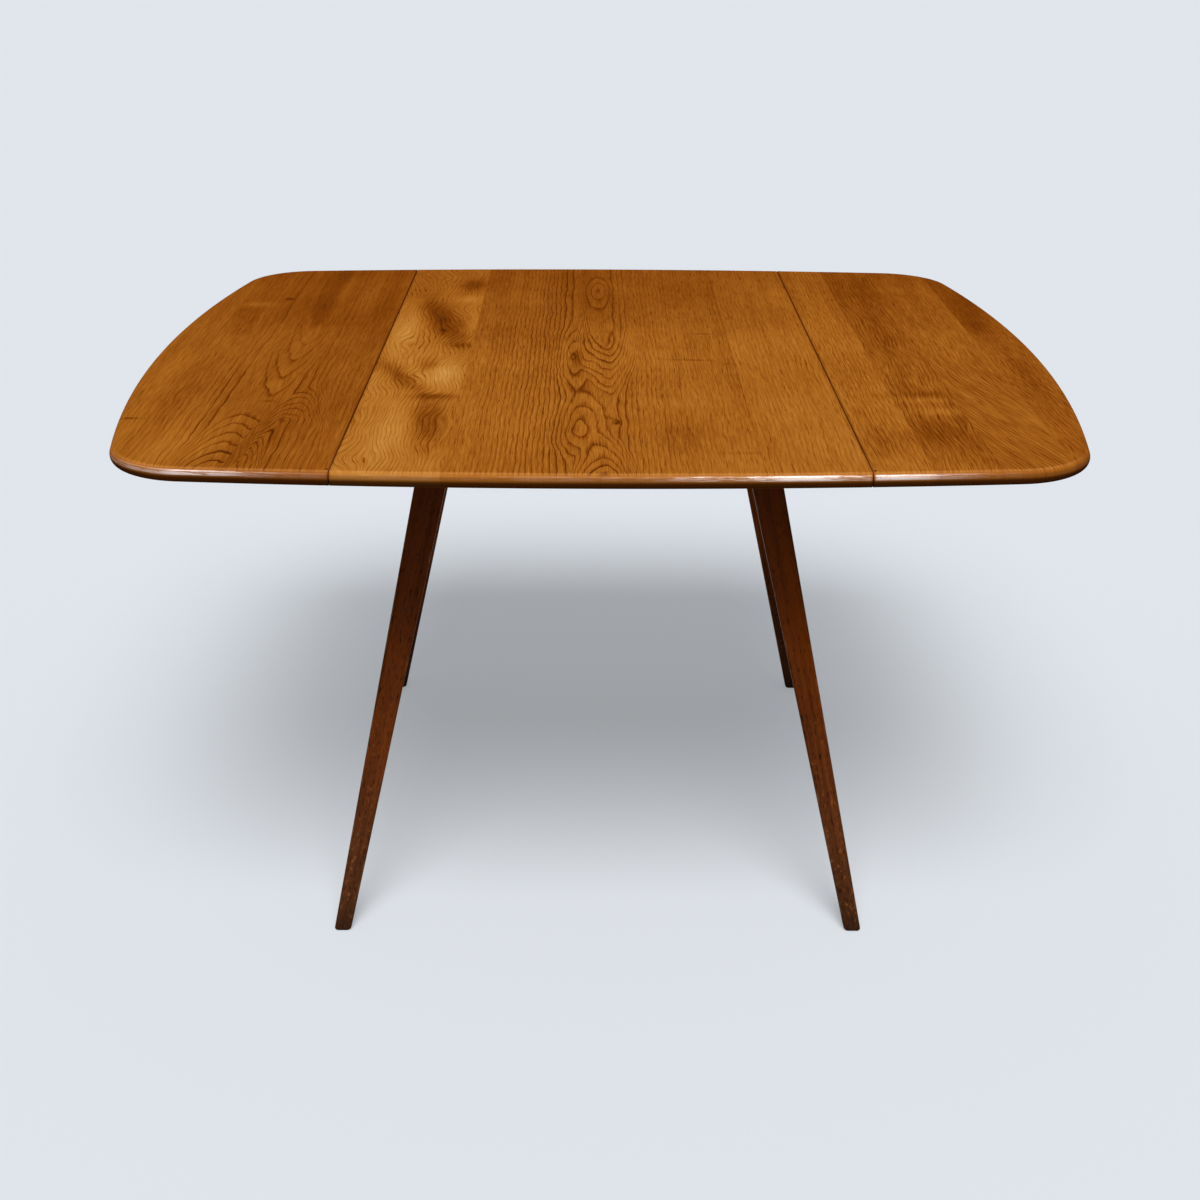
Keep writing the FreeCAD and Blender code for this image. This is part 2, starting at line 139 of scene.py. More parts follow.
class Finish:
    # one material, or the world, and the nodes in it
    def __init__(self, name, owner=None):
        self.material = owner or bpy.data.materials.new(name)
        self.material.use_nodes = True
        self.tree = self.material.node_tree
        self.tree.nodes.clear()

    def node(self, kind, settings=None, sockets=None, out=0):
        made = self.tree.nodes.new(kind)
        for key, value in (settings or {}).items():
            if key == "stops":
                self.setStops(made.color_ramp, value)
            elif key == "interpolation":
                made.color_ramp.interpolation = value
            else:
                setattr(made, key, value)
        pairs = sockets.items() if isinstance(sockets, dict) else enumerate(sockets or [])
        for key, value in pairs:
            if isinstance(value, Socket):
                self.tree.links.new(value.out, made.inputs[key])
            else:
                made.inputs[key].default_value = value
        return Socket(self, made.outputs[out]) if made.outputs else None

    def setStops(self, ramp, stops):
        while len(ramp.elements) < len(stops):
            ramp.elements.new(1.0)
        for element, (place, colour) in zip(ramp.elements, stops):
            element.position = place
            element.color = colour

    def place(self):
        # object coordinates as three numbers, in metres
        point = self.node("ShaderNodeTexCoord", out="Object")
        parts = self.node("ShaderNodeSeparateXYZ", sockets=[point]).out.node
        return [Socket(self, out) for out in parts.outputs]

    def noise(self, x, y, z, detail=2.0, roughness=0.5):
        spot = self.node("ShaderNodeCombineXYZ", sockets=[x, y, z])
        return self.node("ShaderNodeTexNoise", sockets={
            "Vector": spot, "Scale": 1.0, "Detail": detail, "Roughness": roughness})

    def step(self, value, low, high):
        # smooth step from 0 at low to 1 at high
        return self.node("ShaderNodeMapRange", {"interpolation_type": "SMOOTHSTEP"}, {
            "Value": value, "From Min": low, "From Max": high, "To Min": 0.0, "To Max": 1.0})

    def band(self, value, riseLow, riseHigh, fallLow, fallHigh):
        # up by one smooth step and down again by another
        return self.step(value, riseLow, riseHigh) * (1 - self.step(value, fallLow, fallHigh))

    def ramp(self, value, stops, interpolation="LINEAR"):
        return self.node("ShaderNodeValToRGB", {"interpolation": interpolation, "stops": stops}, [value])

    def mix(self, share, first, second):
        made = self.node("ShaderNodeMix", {"data_type": "RGBA"}, {0: share}).out.node
        for index, value in ((6, first), (7, second)):
            if isinstance(value, Socket):
                self.tree.links.new(value.out, made.inputs[index])
            else:
                made.inputs[index].default_value = value
        return Socket(self, made.outputs[2])

    def seen(self):
        # 1 for what the camera sees, itself or through metal and glass
        rays = self.node("ShaderNodeLightPath").out.node.outputs
        share = Socket(self, rays["Is Camera Ray"])
        for name in ("Is Glossy Ray", "Is Transmission Ray"):
            share = share.math("MAXIMUM", Socket(self, rays[name]))
        return share

    def bump(self, height, strength, distance):
        return self.node("ShaderNodeBump", sockets={
            "Strength": strength, "Distance": distance, "Height": height})

    def close(self, **sockets):
        # surface shader; names are the shader's sockets with underscores for spaces
        named = {key.replace("_", " "): value for key, value in sockets.items()}
        shader = self.node("ShaderNodeBsdfPrincipled", sockets=named)
        self.node("ShaderNodeOutputMaterial", sockets=[shader])
        return self.material


# elm: a field of growth rings, cut by the panel's face into lines; lengths in millimetres

elm = {
    "stops": [
        (0.0, rgb(82, 35, 6)), (0.25, rgb(133, 68, 11)), (0.5, rgb(176, 107, 34)),
        (0.75, rgb(198, 136, 58)), (1.0, rgb(224, 170, 98))],
    # the next three: colours of the painted shade on the lower edge and beside the seams, and of the
    # painted highlight along the upper arris of the front edge
    "edge": rgb(46, 18, 4),
    "seamShade": rgb(110, 42, 10),
    "arris": rgb(230, 170, 106),
    "underside": rgb(150, 98, 52),
    "flat": 0.62,                   # ring count where the heart lies level with the face
    "armsClose": (-50.0, 0.0016),   # behind this y the arms of a fan draw together, by this per mm
    "fanSoft": (0.6, 1.0),          # softness of a fan's first ring and of its last
    "eyeSoft": (0.05, 0.8),         # bluntness of an eye's middle, softness of its last ring
    "boardRings": (7.3, 40.0),      # ring count that each board and every board adds
    "boardSeed": 37.0,              # shift of the noises from board to board
    "wander": (9.0, 24.0),          # drift of the grain, across and along
    "swing": 80.0,                  # its swing on a board that waves fully
    "crinkle": (1.6, 5.0, 26.0, 9.0),   # fibres across, rings across, rings along, blots across
    "slantFrom": (-150.0, 150.0),   # boards that slant do so in front of this, and how softly
    "fineness": {                   # noise per millimetre, across and along
        "wander": (0.005, 0.002), "ripple": (0.012, 0.0065), "crinkle": (0.06, 0.026),
        "broken": (0.06, 0.012), "fibre": (0.78, 0.024), "pores": (0.80, 0.032),
        "streak": (0.07, 0.002), "cloud": (0.008, 0.0045), "sheen": (0.014, 0.006),
        "patches": (0.012, 0.012), "scratch": (0.05, 0.05)},
    "lineEach": (0.5, 0.6),         # a ring line's strength: least, and what chance adds
    "lineNear": (0.16, 0.84, 0.42),     # far from the figured strip, within it, on a waving board
    "lineBroken": (0.4, 1.2),       # where it is broken, and what whole stretches add
    "edgeLoss": (0.9, 0.8),         # share of lines and of fine grain lost over the edge
    "poreRange": (0.57, 0.70),      # noise at which a pore starts and is full
    "poreLine": 0.16,               # how much darker pores are within a ring line
    "cloud": 0.26,                  # swing in tone from clouds and from streaks
    "streak": 0.18,
    "grainEnds": (0.3, 3.0),        # drop below the face over which the grain fades
    "farFrom": -150.0,              # behind this the far half is calmer, and darker by painted shade
    "calmTo": (500.0, 0.5),
    "shadeTo": 560.0,
    "glueLine": (0.6, 0.08),        # half width, how much darker
    # painted shade beside the seams: half width, how much darker
    "seamShadeBand": (1.7, 0.5),
    "edgePaintedShade": [(1.6, 6.5, 0.48), (7.0, 11.5, 0.46)],    # painted shade: drop from, drop to, share
    "arrisHighlightBand": (0.02, 0.5, 0.9, 2.4),                   # drop over which the painted highlight lies
    "arrisHighlightFront": (440.0, 540.0),                         # in front of this only
    "arrisHighlightShare": 0.14,
    "undersideRise": (0.6, 1.6),    # height over the underside that its paler colour reaches
    "undersideShare": 0.45,
    "rubbedRange": (0.36, 0.62),    # noise at which lacquer is gone and is whole
    "rubbedLeft": 0.15,             # lacquer left where it is rubbed
    "scratch": 1.1,                 # how much scratches break it up
    "scratchUp": 1.1,               # their noise per millimetre upwards
    "glossLow": 0.05,               # lacquer away from the glossy stretches
    "upperShine": (2.0, 3.0, 4.0, 4.8),     # drops of the two shining bands on the edge
    "upperShare": 0.6,
    "middleShine": (4.4, 5.4, 7.2, 9.0),
    "seamDull": 2.5,                # no shine this near a seam
    "coatRoughness": 0.38,
    "coatIor": 4.5,
    "roughness": (0.32, 0.16, 0.10, 0.22),      # plain, swing of the sheen, in pores, underneath
    "relief": (0.4, 1.0, 0.5),      # fibres up, pores down, ring lines down
    "bump": (0.12, 0.0004),         # strength, metres
}

# boards: where each starts, its tone, its slant at the front and how much its grain waves
# heart: x of the heart line, half width of the level part, ring pitch
# figured: x and half width of the strip where the ring lines show most
# fans: x, y of the tip, lean and curl of the arms, roundness, pitch, number of rings, way they open
# eyes: x, y, half width, half length behind and in front, number of rings
# blots, for each board: x, y, half width, half length, lean, how much darker
# lineDepth, lineWidth: darkness and width of the ring lines; fibre, pores: strength of the fine grain
# gloss: x and half width of the stretches of edge that kept their lacquer
# fade: y from and to which the ring lines fade, and by how much; backShade: painted shade, darker
# towards the back
centreFigure = {
    "span": (-320, 320),
    "boards": [(-320, 0.58, 0.0, 0.85), (-183, 0.465, 0.0, 0.10), (188, 0.495, 0.0, 0.12)],
    "heart": (-8, 36, 6.2),
    "figured": (-32, 92),
    "fans": [
        (15, -252, 2.0, 9.0, 1.6, 40, 6.9, 1),
        (5, -388, 2.2, 8.0, 6, 33, 6.0, -1),
    ],
    "eyes": [
        (-27, -390, 12.5, 58, 38, 3.2),
        (-39, -40, 9.5, 62, 62, 3.2),
        (21, -356, 5, 16, 14, 1.3),
        (1, 392, 9, 42, 60, 2.6),
    ],
    "blots": [
        [
            (-237, 180, 24, 150, -0.22, 0.34),
            (-198, 26, 20, 16, 0.0, 0.18),
            (-203, 427, 22, 44, 0.0, 0.26),
            (-235, -80, 15, 36, 0.0, 0.26),
            (-272, -136, 17, 92, -0.41, 0.30),
            (-210, -240, 36, 15, 0.0, 0.24),
            (-213, -365, 24, 118, -0.10, 0.30),
            (-286, 100, 22, 110, 0.0, -0.22),
            (-214, -130, 26, 60, 0.0, -0.26),
            (-258, -400, 24, 130, 0.0, -0.18),
            (-205, 325, 22, 22, 0.0, -0.13),
            (-190, 170, 10, 90, 0.0, -0.10),
        ],
        [
            (105, -415, 38, 70, 0.0, 0.08),
            (127, -55, 30, 5, 0.0, 0.14),
            (150, 98, 18, 3, 0.0, 0.14),
            (170, -482, 26, 5, 0.0, 0.10),
            (180, -74, 2, 2.5, 0.0, 0.30),
            (21, -357, 3.2, 10, 0.0, 0.40),
            (13, -338, 6, 9, -0.5, 0.16),
            (14, 60, 2.5, 30, 0.06, 0.24),
            (19, 100, 3, 16, 0.1, 0.20),
            (-30, -60, 8, 60, 0.0, 0.12),
        ],
        [],
    ],
    "seams": (-309.5, 309.5),
    "lineDepth": 0.50,
    "lineWidth": 1.0,
    "fibre": 0.62,
    "pores": 0.12,
    "gloss": [(235, 130)],
    "fade": (-60.0, 420.0, 0.45),
    "backShade": 0.16,
    "seed": 3.1,
}
leftFigure = {
    "span": (-640, -300),
    "boards": [(-640, 0.40, 0.0, 0.10), (-562, 0.35, 0.0, 0.16)],
    "heart": (-440, 50, 7.0),
    "figured": (-440, 84),
    "fans": [
        (-447, -318, 1.5, 9.0, 9, 38, 7.0, -1),
        (-426, -262, 3.2, 7.0, 3, 86, 4.2, 1),
        (-374, -190, 2.0, 9.0, 6, 24, 6.0, -1),
    ],
    "eyes": [
        (-395, -352, 7, 14, 12, 1.4),
    ],
    "blots": [
        [
            (-586, -348, 12, 4, 0.3, 0.25),
        ],
        [
            (-492, 321, 6, 7, 0.0, 0.28),
            (-538, 280, 26, 18, 0.0, -0.12),
            (-395, -352, 3, 4, 0.0, 0.15),
            (-330, 120, 22, 260, 0.0, 0.06),
            (-510, -450, 60, 120, 0.0, -0.14),
            (-427, -268, 8, 5, 0.0, 0.14),
        ],
    ],
    "seams": (-310.5,),
    "lineDepth": 0.46,
    "lineWidth": 0.7,
    "fibre": 0.46,
    "pores": 0.06,
    "gloss": [(-490, 80)],
    "fade": (-300.0, 60.0, 0.6),
    "backShade": 0.06,
    "seed": 11.7,
}
rightFigure = {
    "span": (300, 640),
    "boards": [
        (300, 0.48, 0.0, 0.12), (382, 0.395, -0.03, 0.30),
        (460, 0.41, 0.24, 0.12), (552, 0.36, 0.06, 0.16)],
    "heart": (120, 40, 5.6),
    "figured": (120, 420),
    "fans": [],
    "eyes": [],
    "blots": [
        [
            (342, -420, 26, 60, 0.0, 0.12),
            (372, -409, 12, 30, 0.0, 0.08),
        ],
        [
            (424, -226, 30, 13, 0.0, 0.09),
            (424, -254, 32, 12, 0.0, -0.12),
            (430, -304, 40, 18, 0.0, -0.12),
            (420, -395, 46, 60, 0.0, 0.11),
            (425, 210, 14, 150, 0.0, 0.10),
        ],
        [],
        [
            (585, -120, 16, 120, 0.0, 0.14),
            (569, 153, 22, 70, 0.0, 0.12),
        ],
    ],
    "seams": (310.5,),
    "lineDepth": 0.24,
    "lineWidth": 0.8,
    "fibre": 0.82,
    "pores": 0.09,
    "gloss": [(330, 70)],
    "fade": (-100.0, 400.0, 0.3),
    "backShade": 0.12,
    "seed": 23.9,
}


def ringField(x, y, figure):
    # straight rings either side of the heart line; each fan takes rings away along V-shaped arms,
    # each eye takes them away in closed loops
    heartX, heartHalf, pitch = figure["heart"]
    off = x - heartX
    square = off * off
    rings = ((square * square + heartHalf ** 4) ** 0.25 - heartHalf) / pitch + elm["flat"]
    closeFrom, closeBy = elm["armsClose"]
    firstSoft, lastSoft = elm["fanSoft"]
    for tipX, tipY, lean, curl, blunt, fanPitch, count, way in figure["fans"]:
        off = (x - tipX) * ((y - closeFrom).math("MAXIMUM", 0.0) * closeBy + 1.0)
        arm = (off * off + blunt ** 2) ** 0.5 - blunt
        bend = arm / curl
        reach = (y - tipY) * way - arm * lean - bend * bend * bend
        taken = (reach / fanPitch).math("SMOOTH_MAX", 0.0, firstSoft)
        rings = rings - taken.math("SMOOTH_MIN", count, lastSoft)
    eyeBlunt, eyeSoft = elm["eyeSoft"]
    for eyeX, eyeY, wide, behind, before, count in figure["eyes"]:
        off = (x - eyeX) / wide
        up = (y - eyeY).math("MAXIMUM", 0.0) / behind
        down = (y - eyeY).math("MINIMUM", 0.0) / before
        ring = (off * off + up * up + down * down + eyeBlunt) ** 0.5
        rings = rings - (count - ring).math("SMOOTH_MAX", 0.0, eyeSoft)
    return rings


def boardValues(wood, x, figure):
    # tone, slant, number and wave of the board at x, kept in a ramp's red, green, blue and alpha
    low, high = figure["span"]
    stops = []
    for count, (start, tone, slant, wave) in enumerate(figure["boards"]):
        stops.append(((start - low) / (high - low), (tone, slant + 0.5, count * 0.1, wave)))
    board = wood.ramp((x - low) / (high - low), stops, "CONSTANT")
    parts = wood.node("ShaderNodeSeparateColor", sockets=[board]).out.node
    tone, slant, number = [Socket(wood, out) for out in parts.outputs]
    wave = Socket(wood, board.out.node.outputs["Alpha"])
    return tone, slant - 0.5, number, wave


def ringLine(wood, turn, thin):
    # darkness over one ring, from one dark line to the next
    shades = [(0.0, 0.2), (0.07 * thin, 1.0), (0.17 * thin, 0.5), (0.42 * thin, 0.07)]
    shades = shades + [(0.93, 0.0), (1.0, 0.2)]
    return wood.ramp(turn, [(place, (shade, shade, shade, 1)) for place, shade in shades])


def elmFinish(name, figure, lowZ, highZ):
    wood = Finish(name)
    x, y, z = [part * 1000 for part in wood.place()]
    drop = highZ * 1000 - z
    seed = figure["seed"]
    tone, slant, number, wave = boardValues(wood, x, figure)
    shift = number * elm["boardSeed"] + seed

    def grain(kind, side, place, detail, roughness=0.5):
        fineAcross, fineAlong = elm["fineness"][kind]
        return wood.noise(side * fineAcross, y * fineAlong, place, detail, roughness)

    # grain wanders a little sideways along its length, waves on some boards and is crinkled up close
    wander = grain("wander", x, shift, 2.0) - 0.5
    ripple = grain("ripple", x, shift, 1.0) - 0.5
    crinkle = grain("crinkle", x, shift + 4, 2.0) - 0.5
    slantFrom, slantSoft = elm["slantFrom"]
    sway = slant * (y - slantFrom).math("SMOOTH_MIN", 0.0, slantSoft)
    wanderAcross, wanderAlong = elm["wander"]
    crinkleFibre, crinkleAcross, crinkleAlong, crinkleBlot = elm["crinkle"]
    drawn = x + sway + wander * wanderAcross + ripple * wave * elm["swing"]
    straight = drawn + crinkle * crinkleFibre
    across = drawn + crinkle * crinkleAcross
    along = y + wander * wanderAlong + crinkle * crinkleAlong

    # ring lines, some darker than others, strongest near the heart and broken along their length
    perBoard, everyBoard = elm["boardRings"]
    rings = ringField(across, along, figure) + number * perBoard + everyBoard
    each = wood.node("ShaderNodeTexWhiteNoise", {"noise_dimensions": "1D"}, {"W": rings.math("FLOOR")})
    line = ringLine(wood, rings.math("FRACT"), figure["lineWidth"])
    near = across.hill(*figure["figured"])
    broken = grain("broken", across, shift + 6, 2.0)
    fadeFrom, fadeTo, fadeBy = figure["fade"]
    overEdge = wood.step(drop, *elm["grainEnds"])
    eachLeast, eachMore = elm["lineEach"]
    farLeast, nearMore, waveMore = elm["lineNear"]
    brokenLeast, wholeMore = elm["lineBroken"]
    lineLoss, grainLoss = elm["edgeLoss"]
    lines = line * (each * eachMore + eachLeast) * (near * nearMore + farLeast + wave * waveMore)
    lines = lines * (broken * wholeMore + brokenLeast) * (1 - wood.step(y, fadeFrom, fadeTo) * fadeBy)
    lines = lines * (1 - overEdge * lineLoss)

    # pores and fibres, drawn out along the grain
    face = 1 - overEdge * grainLoss
    fibre = grain("fibre", straight, shift, 3.0, 0.6)
    pores = wood.step(grain("pores", straight, shift + 5, 2.0), *elm["poreRange"])
    streak = grain("streak", across, shift + 9, 3.0)
    cloud = grain("cloud", x, shift + 2, 3.0)
    calmTo, calmBy = elm["calmTo"]
    calm = 1 - wood.step(y, elm["farFrom"], calmTo) * calmBy
    light = tone + (cloud - 0.5) * elm["cloud"] + (streak - 0.5) * elm["streak"] * face
    light = light + (fibre - 0.5) * figure["fibre"] * calm * face
    poreDark = line * elm["poreLine"] + figure["pores"]
    light = light - lines * figure["lineDepth"] - pores * poreDark * face
    # painted shade: darker towards the back
    light = light - wood.step(y, elm["farFrom"], elm["shadeTo"]) * figure["backShade"]

    # dark and pale flashes, each on its own board, and glue lines between the boards
    for count, blots in enumerate(figure["blots"]):
        own = number.math("COMPARE", count * 0.1, 0.03)
        for blotX, blotY, wide, tall, lean, depth in blots:
            rise = (y + wander * wanderAlong - blotY) / tall
            off = (x + crinkle * crinkleBlot - blotX - rise * tall * lean) / wide
            light = light - own * math.e ** (-(off * off) - rise * rise) * depth
    glueWide, glueDark = elm["glueLine"]
    for start, _, _, _ in figure["boards"][1:]:
        light = light - x.hill(start, glueWide) * glueDark
    colour = wood.ramp(light, elm["stops"])

    # painted shade beside the seams, painted shade darkening the edge downwards, and a painted highlight
    # along the upper arris of the front edge
    # painted shade beside each seam
    seamShadeWide, seamShadeShare = elm["seamShadeBand"]
    for seam in figure["seams"]:
        colour = wood.mix(x.hill(seam, seamShadeWide) * seamShadeShare, colour, elm["seamShade"])
    # painted shade: the edge darker the further it drops below the face
    paintedEdgeShade = 0.0
    for dropFrom, dropTo, share in elm["edgePaintedShade"]:
        paintedEdgeShade = wood.step(drop, dropFrom, dropTo) * share + paintedEdgeShade
    colour = wood.mix(paintedEdgeShade, colour, elm["edge"])
    # painted highlight: a pale band at the upper arris of the front edge
    arris = wood.band(drop, *elm["arrisHighlightBand"]) * wood.step(-y, *elm["arrisHighlightFront"])
    colour = wood.mix(arris * elm["arrisHighlightShare"], colour, elm["arris"])
    below = 1 - wood.step(z, *[lowZ * 1000 + rise for rise in elm["undersideRise"]])
    colour = wood.mix(below * elm["undersideShare"], colour, elm["underside"])

    # lacquer shines at the turn of the edge and along its middle, rubbed away in places
    patches = grain("patches", x, seed + 6, 2.0)
    scratch = grain("scratch", x, z * elm["scratchUp"], 3.0)
    glossy = elm["glossLow"]
    for glossX, wide in figure["gloss"]:
        glossy = x.hill(glossX, wide) * (1 - elm["glossLow"]) + glossy
    whole = wood.step(patches + (scratch - 0.5) * elm["scratch"], *elm["rubbedRange"])
    kept = (whole * (1 - elm["rubbedLeft"]) + elm["rubbedLeft"]) * glossy
    upper = wood.band(drop, *elm["upperShine"])
    middle = wood.band(drop, *elm["middleShine"])
    coat = (upper * elm["upperShare"] + middle) * kept
    for seam in figure["seams"]:
        coat = coat * (1 - x.hill(seam, elm["seamDull"]))
    sheen = grain("sheen", x, seed + 3, 3.0)
    plain, sheenSwing, poreRough, belowRough = elm["roughness"]
    roughness = plain + (sheen - 0.5) * sheenSwing + pores * poreRough + below * belowRough
    fibreUp, poreDown, lineDown = elm["relief"]
    relief = fibre * fibreUp - pores * poreDown - lines * lineDown
    return wood.close(
        Base_Color=colour, Roughness=roughness, Specular_IOR_Level=0.0, Coat_Weight=coat,
        Coat_Roughness=elm["coatRoughness"], Coat_IOR=elm["coatIor"],
        Normal=wood.bump(relief, *elm["bump"]))


# stained beech of the legs: grain follows the leg, so it reads the leg's own map in metres

stain = {
    "dark": rgb(40, 14, 2),
    "high": rgb(116, 53, 10),    # stain higher up
    "low": rgb(84, 48, 26),      # greyer towards the foot, where it is knocked about
    "worn": rgb(142, 86, 44),
    "dirt": rgb(38, 24, 15),
    "streak": (160, 3.5, 2),     # noise per metre across and along the leg, and from leg to leg
    "fleck": (420, 80),
    "cloud": (9, 6),             # noise per metre, level and upright
    "knocks": (230, 130),
    "rubbed": (60, 22),
    "ragged": (120, 60),
    "fleckRange": (0.55, 0.70),  # noise at which each starts and is full
    "rubbedRange": (0.48, 0.68),
    "chipRange": (0.60, 0.70),
    "dentRange": (0.58, 0.68),
    "lower": (0.02, 0.40, 0.12),     # heights between which the foot's tone gives way, swing of these
    "shaded": (0.42, 0.58, 0.55),    # painted shade under the top, darker above: height from and to, share
    "light": (0.66, 1.3, 0.9, 0.5),  # plain, swing of streaks and of clouds, darkness of flecks
    "rubbedShare": 0.7,
    "chipShare": (0.32, 0.06),       # near the foot besides, anywhere
    "dentShare": (0.45, 0.12),
    "foot": (0.05, 0.03, 0.6),       # height of the dirty band, raggedness, share
    "roughness": (0.36, 0.2, 0.3),   # plain, swing of clouds, on the dirty band
    "specular": 0.015,
    "bump": (0.14, 0.0004),
}


def legFinish():
    wood = Finish("stainedBeech")
    x, y, z = wood.place()
    uv = wood.node("ShaderNodeUVMap", {"uv_map": "along"})
    parts = wood.node("ShaderNodeSeparateXYZ", sockets=[uv]).out.node
    u, v = [Socket(wood, out) for out in parts.outputs[:2]]
    arris = wood.node("ShaderNodeAttribute", {"attribute_name": "arris"}, out="Fac")

    def spread(kind, detail):
        level, upright = stain[kind]
        return wood.noise(x * level, y * level, z * upright, detail)

    streakAcross, streakAlong, streakLeg = stain["streak"]
    fleckAcross, fleckAlong = stain["fleck"]
    streak = wood.noise(u * streakAcross, v * streakAlong, x * streakLeg, 3.0)
    fleck = wood.step(wood.noise(u * fleckAcross, v * fleckAlong, 2.0, 2.0), *stain["fleckRange"])
    cloud = spread("cloud", 3.0)
    knocks = spread("knocks", 2.0)
    lowerFrom, lowerTo, lowerSwing = stain["lower"]
    lower = 1 - wood.step(z + (cloud - 0.5) * lowerSwing, lowerFrom, lowerTo)
    plain, streakSwing, cloudSwing, fleckDark = stain["light"]
    light = plain + (streak - 0.5) * streakSwing + (cloud - 0.5) * cloudSwing - fleck * fleckDark
    stainAndShade = wood.mix(lower, stain["high"], stain["low"])
    # painted shade: the legs darker high up, under the top
    shadedFrom, shadedTo, shadedShare = stain["shaded"]
    stainAndShade = wood.mix(wood.step(z, shadedFrom, shadedTo) * shadedShare, stainAndShade, stain["dark"])
    colour = wood.mix(light.math("MULTIPLY", 1.0, clamp=True), stain["dark"], stainAndShade)

    # rubbed arrises, chips, dents and a dirty band round the foot
    rubbed = arris * wood.step(spread("rubbed", 3.0), *stain["rubbedRange"])
    chipLow, chipLeast = stain["chipShare"]
    dentLow, dentLeast = stain["dentShare"]
    chips = wood.step(knocks, *stain["chipRange"]) * (lower * chipLow + chipLeast)
    dents = wood.step(1 - knocks, *stain["dentRange"]) * (lower * dentLow + dentLeast)
    colour = wood.mix(rubbed * stain["rubbedShare"] + chips, colour, stain["worn"])
    colour = wood.mix(dents, colour, stain["dirt"])
    footTo, raggedBy, footShare = stain["foot"]
    ragged = z + (spread("ragged", 2.0) - 0.5) * raggedBy
    foot = 1 - wood.step(ragged, 0.0, footTo)
    colour = wood.mix(foot * footShare, colour, stain["dirt"])
    plainRough, cloudRough, footRough = stain["roughness"]
    roughness = plainRough + (cloud - 0.5) * cloudRough + foot * footRough
    relief = streak * 0.5 - fleck + knocks * lower
    return wood.close(
        Base_Color=colour, Roughness=roughness, Specular_IOR_Level=stain["specular"],
        Normal=wood.bump(relief, *stain["bump"]))


# frame pieces under the top: same beech, thinner stain, grain along X or Y

underframe = {
    "stops": [(0.0, rgb(62, 30, 13)), (1.0, rgb(128, 78, 42))],
    "streak": (4, 130),              # noise per metre, along and across
    "fleck": (80, 600),
    "cloud": 11,
    "fleckRange": (0.58, 0.72),
    "light": (0.55, 1.5, 0.6, 0.25),    # plain, swing of streaks and of clouds, darkness of flecks
    "roughness": (0.5, 0.2),
    "bump": (0.15, 0.0004),
}


def frameFinish(name, alongX):
    wood = Finish(name)
    x, y, z = wood.place()
    run, side = (x, y) if alongX else (y, x)

    def drawn(kind, detail):
        fineAlong, fineAcross = underframe[kind]
        return wood.noise(run * fineAlong, side * fineAcross, z * fineAcross, detail)

    fine = underframe["cloud"]
    streak = drawn("streak", 3.0)
    fleck = wood.step(drawn("fleck", 2.0), *underframe["fleckRange"])
    cloud = wood.noise(x * fine, y * fine, z * fine, 2.0)
    plain, streakSwing, cloudSwing, fleckDark = underframe["light"]
    light = plain + (streak - 0.5) * streakSwing + (cloud - 0.5) * cloudSwing - fleck * fleckDark
    plainRough, cloudRough = underframe["roughness"]
    return wood.close(
        Base_Color=wood.ramp(light, underframe["stops"]),
        Roughness=plainRough + (cloud - 0.5) * cloudRough,
        Normal=wood.bump(streak * 0.5 - fleck, *underframe["bump"]))


metalwork = {
    "bright": rgb(176, 170, 160),
    "tarnished": rgb(96, 82, 66),
    "brush": (900, 40),              # noise per metre, across and along the brushing
    "patch": 60,
    "tarnishRange": (0.52, 0.72),
    "tarnishShare": 0.7,
    "tarnishDull": 0.25,             # metallic lost and roughness won where it is tarnished
    "roughness": (0.30, 0.2),
    "bump": (0.06, 0.0003),
}


def steelFinish():
    metal = Finish("oiledSteel")
    x, y, z = metal.place()
    across, along = metalwork["brush"]
    fine = metalwork["patch"]
    brush = metal.noise(x * across, y * along, z * across, 2.0)
    patch = metal.noise(x * fine, y * fine, z * fine, 4.0, 0.6)
    tarnish = metal.step(patch, *metalwork["tarnishRange"])
    share = tarnish * metalwork["tarnishShare"]
    dull = tarnish * metalwork["tarnishDull"]
    plainRough, brushRough = metalwork["roughness"]
    return metal.close(
        Base_Color=metal.mix(share, metalwork["bright"], metalwork["tarnished"]),
        Metallic=1 - dull, Roughness=plainRough + (brush - 0.5) * brushRough + dull,
        Normal=metal.bump(brush, *metalwork["bump"]))


# surfaces on a grid

def gridMesh(name, points, wrapRows, wrapColumns):
    # points is rows by columns by xyz; neighbours are joined by quads
    rows, columns = points.shape[:2]
    r = np.arange(rows if wrapRows else rows - 1)[:, None]
    c = np.arange(columns if wrapColumns else columns - 1)[None, :]
    nextR = (r + 1) % rows
    nextC = (c + 1) % columns
    quads = np.stack([a * columns + b for a, b in ((r, c), (r, nextC), (nextR, nextC), (nextR, c))], -1)
    mesh = bpy.data.meshes.new(name)
    mesh.from_pydata(points.reshape(-1, 3), [], quads.reshape(-1, 4))
    return mesh


mending = {"weld": 2e-6, "sliver": 1e-6}    # metres


def finishPiece(name, mesh, body, node, material):
    # doubles merged, normals turned outwards, then handed over in place of its CAD node
    shell = bmesh.new()
    shell.from_mesh(mesh)
    bmesh.ops.remove_doubles(shell, verts=shell.verts, dist=mending["weld"])
    bmesh.ops.dissolve_degenerate(shell, edges=shell.edges, dist=mending["sliver"])
    bmesh.ops.recalc_face_normals(shell, faces=shell.faces)
    shell.to_mesh(mesh)
    shell.free()
    mesh.shade_smooth()
    mesh.materials.append(material)
    piece = bpy.data.objects.new(name, mesh)
    scene.collection.objects.link(piece)
    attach(piece, body)
    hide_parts(node)


# table top: bowed outline, rounded edge, straight seams

